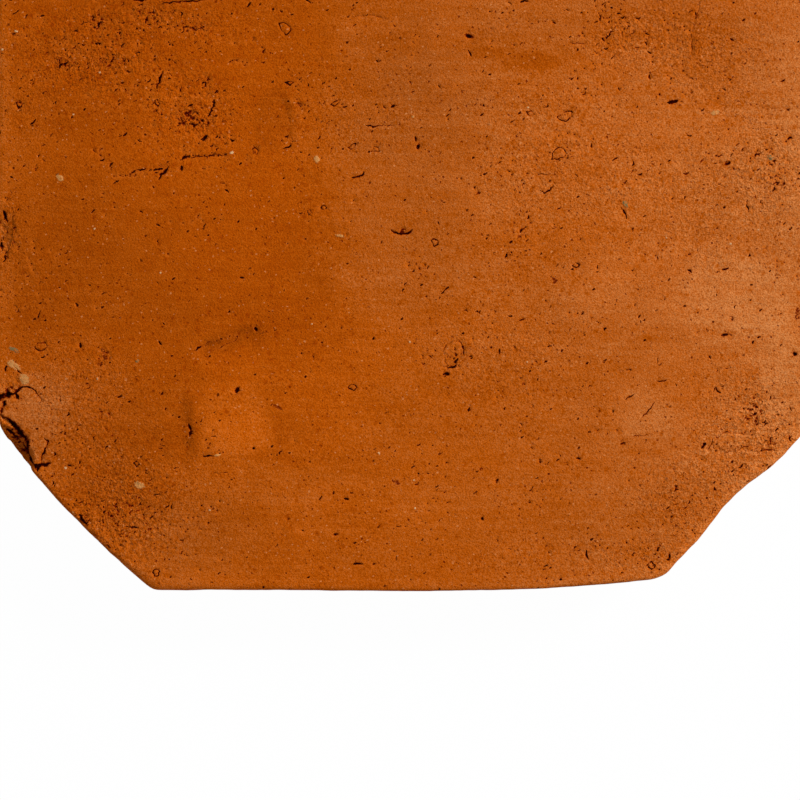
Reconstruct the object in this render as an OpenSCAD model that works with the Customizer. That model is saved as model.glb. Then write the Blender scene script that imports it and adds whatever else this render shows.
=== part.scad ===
// Hand-moulded terracotta floor tile: a square slab with its four corners cut off, fired as one
// piece. It lies on its bed. Z = 0 is the bed, +Z is the wearing face, the front side is towards
// -Y, and the origin is the middle of the bed. Lengths are in millimetres, angles in degrees.

/* [Tile] */
// Greatest width, left to right
tile_w = 200; // [140:1:320]
// Greatest depth, front to back
tile_d = 200; // [140:1:320]
// Thickness of the slab, without the swellings of its face
tile_t = 22; // [14:0.5:40]
// How much of a side each cut corner takes
corner_cut = 39; // [25:0.5:55]

/* [Edges] */
// Worn rounding of the upper edge
arris_r = 1.3; // [0.5:0.1:4]
// Rounding of the lower edge
foot_r = 1; // [0.2:0.1:3]
// How far the sides lean in, from the upper edge down to the bed
side_lean = 2; // [0:0.25:5]
// Length that the softest corner rounds off along its sides
corner_round = 5; // [1:0.5:9]

/* [Hand-moulded form] */
// How far moulding and drying have moved the most moved corner from the true octagon
corner_drift = 5; // [0:0.1:8]
// Outward bow of the most bowed side
side_bow = 2; // [0:0.1:5]
// Depth of the dent in the front right side
dent_depth = 1.3; // [0:0.1:3]
// Width of that dent
dent_width = 28; // [16:1:50]
// Height of the tallest swelling of the face
swell_h = 0.8; // [0:0.05:2]
// Radius of the middling swellings of the face
swell_r = 12; // [5:0.5:25]

/* [Broken corner] */
// Length of the break along the upper edge
chip_len = 16; // [9:0.5:24]
// How far the break reaches into the face
chip_reach = 3.6; // [0.8:0.1:4.2]
// How far the break reaches down the side
chip_drop = 3.4; // [0.8:0.1:3.4]

/* [Hidden] */

TERRACOTTA = "#b2571b";

// The sides that are marked, counted anticlockwise from the front right one
FRONT_RIGHT = 0;
LEFT = 5;
FRONT_LEFT = 6;
// Where the dent is centred, as a share of its side
DENT_AT = 0.47;

// Spacing of the outline's points along a side, and steps round a corner and round an edge
SIDE_STEP = 6;
CORNER_STEPS = 4;
ARRIS_STEPS = 5;
FOOT_STEPS = 2;
// Rings that carry the face from its rim to the middle
FACE_RINGS = 9;
// How unevenly the upper edge is worn, as a share of its rounding, and the spells of wear round it
WEAR_SHARE = 0.3;
WEAR_SPELLS = 5;

half = [tile_w, tile_d] / 2;
near_end = half - [corner_cut, corner_cut];

// The eight corners, anticlockwise from the right end of the front side, each with its drift as
// a share of corner_drift
corners = [
    [near_end.x, -half.y] + corner_drift * [0.1, 0.58],
    [half.x, -near_end.y] + corner_drift * [-0.2, 0.98],
    [half.x, near_end.y] + corner_drift * [-0.18, -0.12],
    [near_end.x, half.y] + corner_drift * [0.16, -0.24],
    [-near_end.x, half.y] + corner_drift * [-0.1, -0.16],
    [-half.x, near_end.y] + corner_drift * [0.22, 0.14],
    [-half.x, -near_end.y] + corner_drift * [0.14, 0.3],
    [-near_end.x, -half.y] + corner_drift * [-0.14, -0.02]
];
SIDES = len(corners);

// How soft each corner is, as a share of corner_round
softness = [0.5, 0.8, 1, 0.7, 0.9, 0.8, 0.6, 0.3];

// How far the side after each corner bows, as a share of side_bow, and where its bow is greatest:
// a skew of 1 puts it halfway, more moves it towards the next corner, less towards this one
bows = [
    [0.75, 3],
    [0.4, 1],
    [0.3, 0.8],
    [0.6, 1.2],
    [0.5, 1],
    [0.4, 0.9],
    [1, 0.85],
    [0.97, 1.7]
];

// Breaks of the upper edge, the broken corner first: side, centre as a share of the side, and
// length, reach and drop as shares of the broken corner's
breaks = [
    [FRONT_LEFT, 0.12, 1, 1, 1],
    [FRONT_LEFT, 0.555, 0.22, 0.22, 0.4],
    [LEFT, 0.615, 0.85, 1.1, 0.35]
];

// Swellings (+) and hollows (-) of the wearing face: centre, as shares of the half width and half
// depth, radius as a share of swell_r, and height as a share of swell_h
swells = [
    [-0.42, -0.60, 0.9, 1],
    [0.45, -0.27, 0.8, 0.6],
    [0.79, -0.30, 1.2, 0.9],
    [0.62, -0.56, 1.1, 0.7],
    [0.74, -0.48, 0.7, -0.5],
    [-0.53, 0.12, 0.9, -0.8],
    [-0.33, 0.15, 0.8, -0.5],
    [-0.70, -0.72, 1.2, -0.7],
    [0.74, 0.31, 1.1, -0.6],
    [0.10, -0.75, 2.5, -0.4],
    [-0.10, 0.55, 2.2, 0.5],
    [0.40, 0.72, 1.3, -0.6],
    [-0.62, 0.62, 1.2, 0.7],
    [0.05, 0.02, 2.8, 0.4]
];

// The outline in plan

function unit(v) = v / norm(v);
function mix(a, b, t) = a + (b - a) * t;
function next(i) = (i + 1) % SIDES;
function side_length(i) = norm(corners[next(i)] - corners[i]);
function side_way(i) = unit(corners[next(i)] - corners[i]);
function side_out(i) = let (way = side_way(i)) [way.y, -way.x];
function rounding(i) = corner_round * softness[i];

// How far side i stands out from the straight line at share t of its length
function bow_at(i, t) = let (u = pow(t, bows[i][1])) side_bow * bows[i][0] * 4 * u * (1 - u);
function dent_at(i, t) =
    let (off = abs(t - DENT_AT) * side_length(i) / (dent_width / 2))
    i == FRONT_RIGHT && off < 1 ? dent_depth * pow(cos(90 * off), 2) : 0;
function side_point(i, t) =
    mix(corners[i], corners[next(i)], t) + side_out(i) * (bow_at(i, t) - dent_at(i, t));

// A side's points between its two rounded corners
function side_points(i) =
    let (
        first = rounding(i) / side_length(i),
        last = 1 - rounding(next(i)) / side_length(i),
        steps = max(4, ceil(side_length(i) / SIDE_STEP))
    )
    [for (k = [0 : steps]) side_point(i, mix(first, last, k / steps))];

// The curve that rounds corner i, from the end of the side before it to the start of side i
function corner_points(i) =
    let (
        before = (i + SIDES - 1) % SIDES,
        a = side_point(before, 1 - rounding(i) / side_length(before)),
        b = side_point(i, rounding(i) / side_length(i))
    )
    [for (k = [1 : CORNER_STEPS - 1])
        let (t = k / CORNER_STEPS) mix(mix(a, corners[i], t), mix(corners[i], b, t), t)];

drawn = [for (i = [0 : SIDES - 1]) each concat(corner_points(i), side_points(i))];

// The drawn outline, centred and fitted to the stated width and depth
low = [min([for (p = drawn) p.x]), min([for (p = drawn) p.y])];
high = [max([for (p = drawn) p.x]), max([for (p = drawn) p.y])];
function fitted(p) = [
    (p.x - (low.x + high.x) / 2) * tile_w / (high.x - low.x),
    (p.y - (low.y + high.y) / 2) * tile_d / (high.y - low.y)
];
outline = [for (p = drawn) fitted(p)];
COUNT = len(outline);

// The wearing face and the section of the edge

function relief(p) = swell_h * sum_of([for (s = swells)
    let (away = norm(p - [s[0] * half.x, s[1] * half.y]) / (s[2] * swell_r))
    away < 2 ? s[3] * pow(cos(45 * away), 2) : 0]);
function sum_of(v) = v * [for (x = v) 1];

function arris_at(i) = arris_r * (1 + WEAR_SHARE * sin(360 * WEAR_SPELLS * i / COUNT));

// Section of the edge at point i, from the bed to the face: how far in towards the middle, and height
function section(i) =
    let (r = arris_at(i), top = tile_t + relief(outline[i]))
    concat(
        [for (k = [0 : FOOT_STEPS])
            let (a = 90 * k / FOOT_STEPS)
            [side_lean + foot_r * (1 - sin(a)), foot_r * (1 - cos(a))]],
        [for (k = [0 : ARRIS_STEPS])
            let (a = 90 * k / ARRIS_STEPS)
            [r * (1 - cos(a)), top - r * (1 - sin(a))]]
    );

sections = [for (i = [0 : COUNT - 1]) section(i)];
LEVELS = len(sections[0]);

function edge_point(i, level) =
    let (s = sections[i][level], p = outline[i] - unit(outline[i]) * s[0]) [p.x, p.y, s[1]];
function face_point(i, ring) =
    let (rim = edge_point(i, LEVELS - 1), p = [rim.x, rim.y] * (1 - ring / FACE_RINGS))
    [p.x, p.y, tile_t + relief(p)];

// Solids

// Closed skin over rings of equal count, ending in one point below and one above
module skin(rings, bottom, top) {
    n = len(rings[0]);
    last = len(rings) - 1;
    points = concat([bottom], [for (ring = rings) each ring], [top]);
    apex = len(points) - 1;
    function at(ring, i) = 1 + ring * n + i % n;
    polyhedron(points, concat(
        [for (i = [0 : n - 1]) [0, at(0, i), at(0, i + 1)]],
        [for (k = [0 : last - 1]) for (i = [0 : n - 1]) each [
            [at(k, i), at(k + 1, i), at(k + 1, i + 1)],
            [at(k, i), at(k + 1, i + 1), at(k, i + 1)]
        ]],
        [for (i = [0 : n - 1]) [apex, at(last, i + 1), at(last, i)]]
    ));
}

module slab() {
    edge = [for (level = [0 : LEVELS - 1]) [for (i = [0 : COUNT - 1]) edge_point(i, level)]];
    face = [for (ring = [1 : FACE_RINGS - 1]) [for (i = [0 : COUNT - 1]) face_point(i, ring)]];
    skin(concat(edge, face), [0, 0, 0], [0, 0, tile_t + relief([0, 0])]);
}

// Ball that scoops a shell-like break out of the upper edge at share t along side i. Its centre
// stands so far out and up that it meets the edge over the given length, the face at the given
// reach and the side at the given drop.
module chip_ball(i, t, length, reach, drop) {
    h = length / 2;
    out = (h * h - reach * reach) / (2 * reach);
    up = (h * h - drop * drop) / (2 * drop);
    edge = fitted(side_point(i, t));
    centre = edge + side_out(i) * out;
    translate([centre.x, centre.y, tile_t + relief(edge) + up]) sphere(norm([out, up, h]));
}

module tile() {
    color(TERRACOTTA) difference() {
        slab();
        for (b = breaks)
            chip_ball(b[0], b[1], b[2] * chip_len, b[3] * chip_reach, b[4] * chip_drop);
    }
}

tile();
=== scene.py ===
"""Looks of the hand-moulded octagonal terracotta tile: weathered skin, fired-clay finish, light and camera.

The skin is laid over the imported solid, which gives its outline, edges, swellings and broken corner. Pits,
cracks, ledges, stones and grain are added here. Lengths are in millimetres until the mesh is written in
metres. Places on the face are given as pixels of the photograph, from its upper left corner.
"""

import math
import random

import bpy
import numpy as np
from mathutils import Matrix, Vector, noise
from mathutils.bvhtree import BVHTree
from mathutils.geometry import delaunay_2d_cdt


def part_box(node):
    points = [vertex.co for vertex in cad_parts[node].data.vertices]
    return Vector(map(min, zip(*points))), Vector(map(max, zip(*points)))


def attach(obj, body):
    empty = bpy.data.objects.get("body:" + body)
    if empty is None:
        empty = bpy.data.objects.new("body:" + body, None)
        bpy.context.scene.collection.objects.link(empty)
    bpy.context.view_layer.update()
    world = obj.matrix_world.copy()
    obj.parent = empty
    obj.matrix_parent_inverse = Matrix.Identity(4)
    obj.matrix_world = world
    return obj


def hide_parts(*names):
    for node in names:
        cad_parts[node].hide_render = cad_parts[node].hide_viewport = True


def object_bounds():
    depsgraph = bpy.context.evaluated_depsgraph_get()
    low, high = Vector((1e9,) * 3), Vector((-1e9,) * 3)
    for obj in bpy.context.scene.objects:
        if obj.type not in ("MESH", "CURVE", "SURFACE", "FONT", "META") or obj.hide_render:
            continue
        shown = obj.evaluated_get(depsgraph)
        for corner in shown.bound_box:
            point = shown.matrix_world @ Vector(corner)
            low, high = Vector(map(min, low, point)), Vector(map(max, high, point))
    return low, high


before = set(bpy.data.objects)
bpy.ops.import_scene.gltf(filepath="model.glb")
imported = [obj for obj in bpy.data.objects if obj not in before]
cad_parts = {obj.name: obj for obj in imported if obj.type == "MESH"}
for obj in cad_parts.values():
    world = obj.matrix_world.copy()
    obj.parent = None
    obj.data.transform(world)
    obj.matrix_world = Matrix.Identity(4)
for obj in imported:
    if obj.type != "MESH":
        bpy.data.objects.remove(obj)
cad_low, cad_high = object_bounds()

MM = 0.001
SEED = 41

# The photograph's frame, which looks straight down on the face
PHOTO_PX = 800
PX_PER_MM = 4.13
TILE_CENTRE_PX = (408, 178)

# Spacing of the skin's points on the face, in crumbled places, along the edge and on the bed
FACE_STEP = 1.0
CRUMBLE_STEP = 0.38
EDGE_STEP = 1.0
BED_STEP = 4.0
# How far the points of a grid are shaken along its rows, as a share of its spacing
GRID_SHAKE = 0.15
# Points nearer to each other than this are taken as one, and the marks' points keep this far from the rim
SAME_POINT = 0.1
RIM_ROOM = 0.3

# The upper edge's rays fan out from this far inside it and this far below it, under room for the swellings
FAN = 2.6
SWELL_ROOM = 1.0
# The foot's rays fan out from this far above the bed, and this far inside the outline
FOOT_FAN = 3.0
FOOT_INSET = 5.0
# The face's own points end where the upper edge's rays rise at this angle
RIM_ANGLE = 52
ARRIS_RINGS = 8
SIDE_RINGS = 12
FOOT_RINGS = 4
OUTLINE_RAYS = 3000
# Height at which the outline is traced, as a share of the thickness
OUTLINE_HEIGHT = 0.78
# The outline's points are closer together round the broken corner: where that is, how far, how much and how
# sharply that ends
BREAK_PX = (19, 440)
BREAK_REACH = 11.0
BREAK_DENSITY = 1.4
BREAK_SHARP = 4

# Tears and cracks: pixels along each, then half its width in pixels
TEARS = [
    ([(163, 72), (160, 78), (159, 84), (157, 89)], 1.1),
    ([(127, 176), (132, 173), (138, 170), (146, 169)], 0.5),
    ([(169, 167), (166, 171), (161, 175), (159, 180)], 0.9), ([(154, 171), (163, 169)], 0.7),
    ([(182, 160), (185, 157), (190, 156)], 0.9), ([(215, 100), (214, 106), (209, 114)], 0.5),
    ([(163, 4), (177, 3), (185, 2), (200, 1), (222, 1)], 0.6), ([(134, 1), (144, 1)], 1.1),
    ([(203, 141), (207, 136)], 1.0), ([(366, 126), (373, 128), (379, 126)], 0.5),
    ([(196, 351), (202, 346)], 0.7), ([(283, 149), (288, 148), (291, 145)], 0.5),
    ([(189, 424), (191, 429), (190, 437)], 0.9),
    # The next three tears run along the broken corner's ledge; their width, up to 2.0 pixels, is painted
    # shadow under its wall
    ([(-3, 413), (2, 416), (7, 418), (12, 422), (19, 428)], 1.0),
    ([(13, 423), (19, 429), (23, 435), (28, 441)], 2.0),
    ([(29, 440), (27, 446), (28, 450), (26, 454), (29, 461), (36, 467)], 1.4),
    ([(352, 178), (359, 177), (363, 175), (364, 172)], 0.7),
    ([(391, 230), (396, 233), (407, 234), (412, 230)], 0.8), ([(520, 233), (526, 227)], 0.8),
    ([(441, 294), (444, 291), (449, 287)], 0.5), ([(448, 368), (456, 365)], 0.7),
    ([(454, 363), (458, 358)], 0.5), ([(462, 345), (464, 350), (464, 356)], 0.45),
    ([(621, 208), (624, 213), (626, 219)], 0.6), ([(642, 417), (648, 410), (654, 402)], 0.5),
    ([(624, 400), (629, 397), (634, 394)], 0.35), ([(656, 381), (666, 380)], 0.45),
    ([(747, 200), (746, 205), (748, 210)], 0.45), ([(767, 447), (770, 438)], 0.35),
    ([(711, 514), (715, 504)], 0.6), ([(701, 448), (705, 443)], 1.0), ([(708, 449), (712, 441)], 0.6),
    ([(203, 456), (214, 456)], 0.5), ([(586, 550), (588, 559)], 0.7), ([(353, 564), (363, 564)], 0.6),
    ([(667, 103), (673, 102), (677, 101)], 0.9), ([(41, 311), (39, 316), (38, 319)], 0.5),
    # The second tear on the next line, 2.2 pixels wide, is painted shadow of the wall above the broken
    # corner's plateau
    ([(81, 343), (81, 348)], 0.8), ([(-4, 399), (2, 396), (8, 394), (13, 394)], 2.2),
    ([(12, 394), (16, 393), (20, 389), (23, 387)], 1.1), ([(16, 393), (19, 399)], 0.9),
    ([(6, 401), (3, 409), (1, 415)], 1.2), ([(23, 387), (31, 388), (37, 393), (42, 399), (40, 403)], 0.5),
    ([(45, 438), (49, 441), (47, 447), (43, 454), (42, 461)], 0.6),
    ([(27, 458), (32, 464), (38, 466), (45, 465), (51, 463)], 1.1), ([(38, 466), (38, 470)], 0.9),
    ([(15, 367), (18, 370), (22, 374)], 0.5), ([(7, 366), (6, 371)], 0.9), ([(2, 243), (3, 251)], 1.1),
    ([(4, 211), (6, 216), (7, 220)], 0.9), ([(6, 255), (4, 262)], 0.6),
    ([(80, 515), (84, 521), (87, 525)], 1.3), ([(87, 524), (89, 520)], 0.7), ([(11, 438), (16, 436)], 0.7),
    ([(17, 443), (21, 441)], 0.6), ([(6, 428), (12, 433), (17, 440)], 0.7),
    ([(13, 440), (17, 447), (22, 453)], 0.7), ([(23, 444), (25, 452)], 1.2),
    ([(540, 191), (544, 194), (549, 191), (553, 186)], 0.5), ([(536, 176), (541, 174), (549, 175)], 0.3),
]

# Faint lines: pixels along each
FAINT_LINES = [
    [(352, 18), (362, 17), (370, 16), (380, 18), (386, 19)], [(379, 126), (387, 127), (394, 126)],
    [(213, 473), (224, 473), (228, 472)], [(270, 405), (276, 408), (283, 410)],
    [(205, 345), (214, 341), (222, 340)], [(213, 351), (222, 347), (231, 342), (240, 336)],
    [(748, 437), (740, 433), (727, 431), (720, 433)], [(722, 453), (737, 451), (750, 445)],
    [(188, 158), (197, 156), (206, 156)], [(205, 157), (214, 155), (222, 156)],
    [(14, 212), (14, 224), (13, 238), (10, 250)], [(699, 2), (697, 14), (694, 26), (692, 40), (689, 58)],
    [(570, 43), (578, 44), (586, 43)], [(632, 437), (640, 436), (648, 435)],
    [(452, 341), (446, 345), (443, 352), (444, 361), (450, 367)], [(455, 341), (461, 343), (464, 350)],
]

# Rows of small pits: pixels along each, then how many for each pixel
PIT_ROWS = [
    ([(213, 101), (215, 105), (212, 110), (207, 118)], 0.5), ([(207, 118), (196, 126), (188, 124)], 0.35),
    ([(182, 160), (189, 157), (200, 156), (208, 157), (217, 155), (229, 154)], 0.4),
    ([(205, 345), (226, 337), (250, 331)], 0.12), ([(174, 29), (186, 27), (209, 30)], 0.3),
    ([(112, 176), (127, 177), (146, 171)], 0.25), ([(454, 346), (456, 353), (454, 360)], 0.4),
    ([(755, 390), (752, 405), (757, 425)], 0.2), ([(203, 87), (206, 82), (209, 78)], 0.9),
    ([(229, 62), (238, 62), (246, 63)], 0.3),
]

# Ledges, where the face to the right of the way along the pixels lies lower: half the width of the step, its
# drop and how far from it the face is level again, in millimetres
LEDGES = [
    ([(182, 159), (200, 156), (230, 153)], 0.3, 0.4, 5),
    ([(192, 354), (206, 343), (222, 343), (238, 331), (262, 329)], 1.0, 0.8, 9),
    ([(180, 392), (189, 406), (187, 418), (191, 430), (188, 442), (197, 458)], 1.6, 0.35, 8),
    ([(278, 97), (288, 105), (293, 124), (291, 138), (285, 148)], 0.9, 0.4, 9),
    ([(13, 210), (14, 224), (13, 238), (5, 264)], 0.2, 0.4, 4),
    ([(748, 437), (727, 431), (714, 437)], 0.25, 0.3, 3),
    ([(713, 449), (725, 452), (750, 445)], 0.25, 0.3, 3),
    ([(-3, 413), (7, 418), (19, 428), (29, 440)], 0.2, 1.3, 3.5),
    ([(29, 440), (27, 452), (36, 467)], 0.2, 1.3, 3.5),
]

# Short slits: the pixels of their two ends
SLITS = [
    (13, 15, 19, 11), (26, 19, 28, 15), (41, 17, 45, 16), (93, 22, 94, 18), (98, 27, 103, 22),
    (122, 24, 125, 23), (146, 24, 148, 17), (136, 30, 138, 29), (60, 69, 63, 64), (64, 64, 69, 62),
    (111, 63, 113, 60), (115, 75, 117, 73), (121, 84, 124, 83), (152, 62, 155, 59), (174, 62, 177, 64),
    (31, 125, 36, 120), (51, 137, 53, 134), (72, 119, 73, 117), (188, 107, 193, 105), (193, 114, 196, 112),
    (119, 137, 122, 136), (124, 136, 127, 133), (138, 140, 142, 142), (134, 145, 136, 143),
    (110, 167, 113, 163), (114, 184, 117, 182), (36, 171, 38, 168), (11, 177, 13, 178),
    (182, 171, 182, 166), (10, 1, 12, 1), (247, 8, 251, 3), (259, 6, 261, 4), (273, 11, 274, 9),
    (280, 11, 283, 13), (306, 1, 311, 4), (352, 7, 354, 5), (353, 27, 356, 25), (262, 53, 265, 50),
    (308, 84, 309, 87), (322, 85, 325, 83), (376, 61, 378, 63), (298, 103, 301, 107), (308, 113, 310, 111),
    (343, 108, 347, 107), (391, 108, 395, 106), (383, 106, 386, 109), (318, 140, 320, 136),
    (371, 133, 373, 131), (368, 153, 370, 152), (216, 138, 218, 136), (225, 190, 229, 193),
    (468, 51, 471, 57), (437, 38, 438, 36), (508, 3, 511, 5), (520, 3, 528, 2), (552, 21, 555, 24),
    (501, 14, 503, 13), (484, 58, 486, 57), (411, 93, 414, 92), (446, 117, 449, 115), (510, 123, 514, 121),
    (474, 106, 476, 104), (483, 105, 484, 107), (480, 116, 483, 114), (517, 85, 520, 84),
    (420, 129, 422, 128), (415, 137, 416, 142), (486, 138, 487, 136), (498, 164, 501, 162),
    (483, 175, 487, 173), (472, 159, 474, 158), (461, 180, 461, 178), (474, 189, 475, 187),
    (476, 195, 480, 193), (591, 144, 591, 148), (575, 175, 577, 177), (601, 6, 605, 3), (610, 8, 612, 9),
    (658, 0, 662, 1), (695, 19, 695, 13), (732, 4, 734, 3), (730, 39, 733, 41), (649, 75, 650, 80),
    (618, 88, 619, 91), (722, 89, 725, 91), (780, 82, 784, 80), (687, 136, 691, 136), (612, 161, 617, 158),
    (632, 166, 633, 162), (631, 173, 633, 170), (730, 157, 732, 154), (700, 163, 703, 159),
    (683, 174, 688, 173), (787, 140, 791, 138), (736, 193, 737, 191), (772, 185, 779, 183),
    (18, 211, 19, 209), (92, 213, 95, 210), (140, 211, 143, 213), (157, 225, 160, 226),
    (145, 237, 147, 236), (157, 282, 159, 285), (102, 295, 106, 293), (89, 285, 91, 286),
    (76, 303, 78, 307), (163, 323, 165, 325), (159, 341, 162, 345), (118, 397, 122, 396),
    (161, 395, 163, 392), (204, 230, 206, 224), (238, 223, 239, 221), (273, 219, 275, 218),
    (224, 206, 225, 204), (240, 278, 244, 278), (381, 244, 382, 241), (373, 340, 374, 337),
    (443, 203, 445, 203), (438, 222, 439, 225), (528, 216, 528, 218), (505, 258, 506, 254),
    (540, 255, 541, 253), (425, 264, 425, 266), (427, 269, 429, 266), (473, 277, 476, 278),
    (508, 316, 512, 316), (519, 321, 525, 319), (499, 349, 499, 354), (469, 357, 472, 356),
    (544, 363, 547, 361), (425, 297, 427, 296), (643, 217, 645, 216), (715, 206, 717, 205),
    (748, 257, 749, 254), (687, 270, 691, 273), (721, 270, 728, 268), (638, 318, 640, 315),
    (752, 344, 753, 341), (657, 358, 657, 363), (708, 356, 710, 359), (626, 370, 631, 370),
    (675, 384, 676, 386), (715, 387, 720, 393), (128, 402, 131, 401), (80, 461, 80, 464),
    (68, 465, 72, 466), (89, 491, 89, 494), (154, 495, 160, 494), (154, 513, 157, 512),
    (103, 519, 104, 523), (130, 527, 139, 528), (180, 540, 184, 540), (253, 449, 255, 448),
    (373, 460, 373, 462), (319, 500, 322, 496), (333, 494, 334, 491), (344, 498, 349, 499),
    (334, 534, 338, 534), (275, 547, 278, 544), (531, 408, 533, 405), (520, 423, 522, 426),
    (519, 432, 521, 430), (539, 459, 540, 463), (556, 461, 559, 459), (563, 463, 567, 462),
    (576, 458, 580, 459), (418, 474, 419, 473), (498, 479, 496, 483), (529, 491, 532, 490),
    (482, 517, 483, 520), (620, 444, 625, 443), (730, 447, 731, 445), (789, 407, 791, 411),
    (738, 468, 742, 464), (666, 559, 669, 559),
]

# Holes wider than a slit: pixels x, y, the two radii and the angle of the first
HOLES = [
    (469, 37, 3.6, 1.7, -10), (418, 147, 1.4, 2.6, -12), (447, 374, 1.5, 1.9, 60), (794, 354, 2.0, 1.6, 0),
    (727, 164, 2.3, 1.4, 30), (669, 556, 1.2, 2.4, 0), (237.5, 390.5, 3, 1.3, 75), (256, 329, 1.3, 2.1, 20),
    (724, 335, 3.2, 1.1, 5),
]

# Outlines of the grains of fired clay that show in the face, as pixels
GRAINS = [
    [(279, 24), (283, 23), (288, 26), (291, 31), (286, 36), (282, 32)],
    [(557, 117), (563, 113), (572, 112), (571, 117), (566, 122), (559, 120)],
    [(551, 160), (552, 154), (558, 148), (564, 150), (566, 154), (563, 158), (557, 160)],
    [(648, 563), (651, 561), (655, 565), (651, 569), (648, 567)],
    [(348, 388), (352, 384), (357, 387), (354, 391)],
    [(35, 347), (38, 343), (45, 342), (48, 346), (44, 350), (38, 350)],
    [(431, 241), (434, 239), (438, 241), (438, 245), (434, 247)],
    [(307, 211), (310, 210), (312, 213), (309, 215)], [(321, 208), (324, 206), (327, 208), (324, 210)],
    [(331, 105), (335, 102), (339, 100), (339, 103), (334, 107)],
    [(285, 83), (289, 82), (294, 83), (290, 86)],
    [(252, 150), (255, 148), (258, 151), (257, 155), (253, 154)],
    [(572, 266), (575, 263), (579, 265), (576, 268)], [(134, 463), (137, 461), (140, 464), (137, 467)],
    [(153, 572), (156, 569), (160, 571), (159, 575), (155, 576)],
    [(17, 103), (20, 101), (23, 104), (19, 109)], [(348, 148), (352, 145), (356, 144), (351, 150)],
    [(371, 152), (374, 147), (378, 148), (380, 152)], [(526, 112), (531, 111), (535, 115), (530, 117)],
    [(155, 101), (158, 100), (160, 104), (157, 106)],
]

# Stones, grains and stains of another colour: pixels x, y, the two radii and the angle of the first
PALE_STONES = [
    (14, 365, 7.5, 3.8, -35), (25, 379, 6, 5, -50), (140, 485, 6, 4, -25), (60, 178, 4.2, 3, -35),
    (413, 117, 1.8, 2, 0), (317, 160, 3, 4, 20), (340, 236, 5, 1.7, -8), (715, 113, 4.5, 2.6, 20),
    (218, 455, 3.6, 1.3, 8), (74, 512, 3, 1.5, -40),
]
WHITE_GRAINS = [
    (66, 468, 1.6, 1.4, 0), (528, 108, 1.1, 1, 0), (161, 273, 1.1, 1, 0), (410, 342, 1.1, 1, 0),
    (74, 115, 1.2, 1, 0), (17, 32, 2, 0.9, -15), (3, 50, 1.3, 1, 0), (100, 73, 1.2, 1, 0),
    (414, 480, 1.2, 0.9, 0), (415, 508, 1, 1, 0), (210, 510, 1.2, 1, 0), (379, 453, 1.5, 1, -40),
    (527, 362, 1, 1, 0), (730, 244, 1.3, 1, 0), (666, 238, 1, 1, 0), (758, 230, 1.1, 1, 0),
    (232, 153, 2.2, 1.4, 20), (95, 229, 1.3, 1, 30), (98, 379, 1.1, 1, 0), (312, 324, 1, 1, 0),
]
GREY_STONES = [
    (15, 350, 6, 2.4, -25), (770, 158, 4, 2.6, -30), (625, 204, 2.6, 5, 25), (138, 361, 2, 2, 0),
]
RED_STAINS = [
    (103, 351, 2.4, 4, 20), (106, 357, 4, 2.6, -40), (101, 364, 3.6, 2, 10), (554, 280, 3.2, 4, -15),
    (797, 315, 3, 8, 0), (396, 482, 5, 2.4, -32), (481, 469, 2.6, 2, 0), (277, 407, 7, 1.8, -22),
    (299, 105, 3.4, 1.6, -50), (429, 82, 1.6, 1.6, 0), (727, 162, 2, 1.6, 0), (254, 152, 2.4, 2.2, 0),
    (171, 76, 2, 1.6, 0),
]

# Crumbled places: pixels x, y, the two radii, the angle of the first and how crumbled
CRUMBLED = [
    (194, 121, 20, 13, -15, 0.9), (207, 83, 6, 8, 0, 1.0), (112, 64, 26, 10, 8, 0.6),
    (160, 172, 16, 7, 15, 0.7), (64, 60, 16, 10, 15, 0.6), (97, 22, 9, 14, -20, 0.7),
    (150, 16, 22, 12, 0, 0.6), (16, 440, 30, 8, -52, 0.9), (12, 388, 14, 9, 20, 0.7),
    (5, 235, 5, 26, 0, 0.7), (84, 518, 11, 6, -45, 0.7), (452, 362, 11, 14, 0, 0.5),
    (106, 412, 12, 7, 0, 0.6), (752, 412, 14, 20, -20, 0.6), (195, 28, 20, 5, 8, 0.5),
    (300, 104, 8, 5, -40, 0.6), (105, 356, 8, 12, 0, 0.5), (768, 448, 14, 9, 40, 0.5),
    (128, 520, 56, 38, -35, 0.36), (403, 231, 8, 5, 10, 0.6),
]

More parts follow.
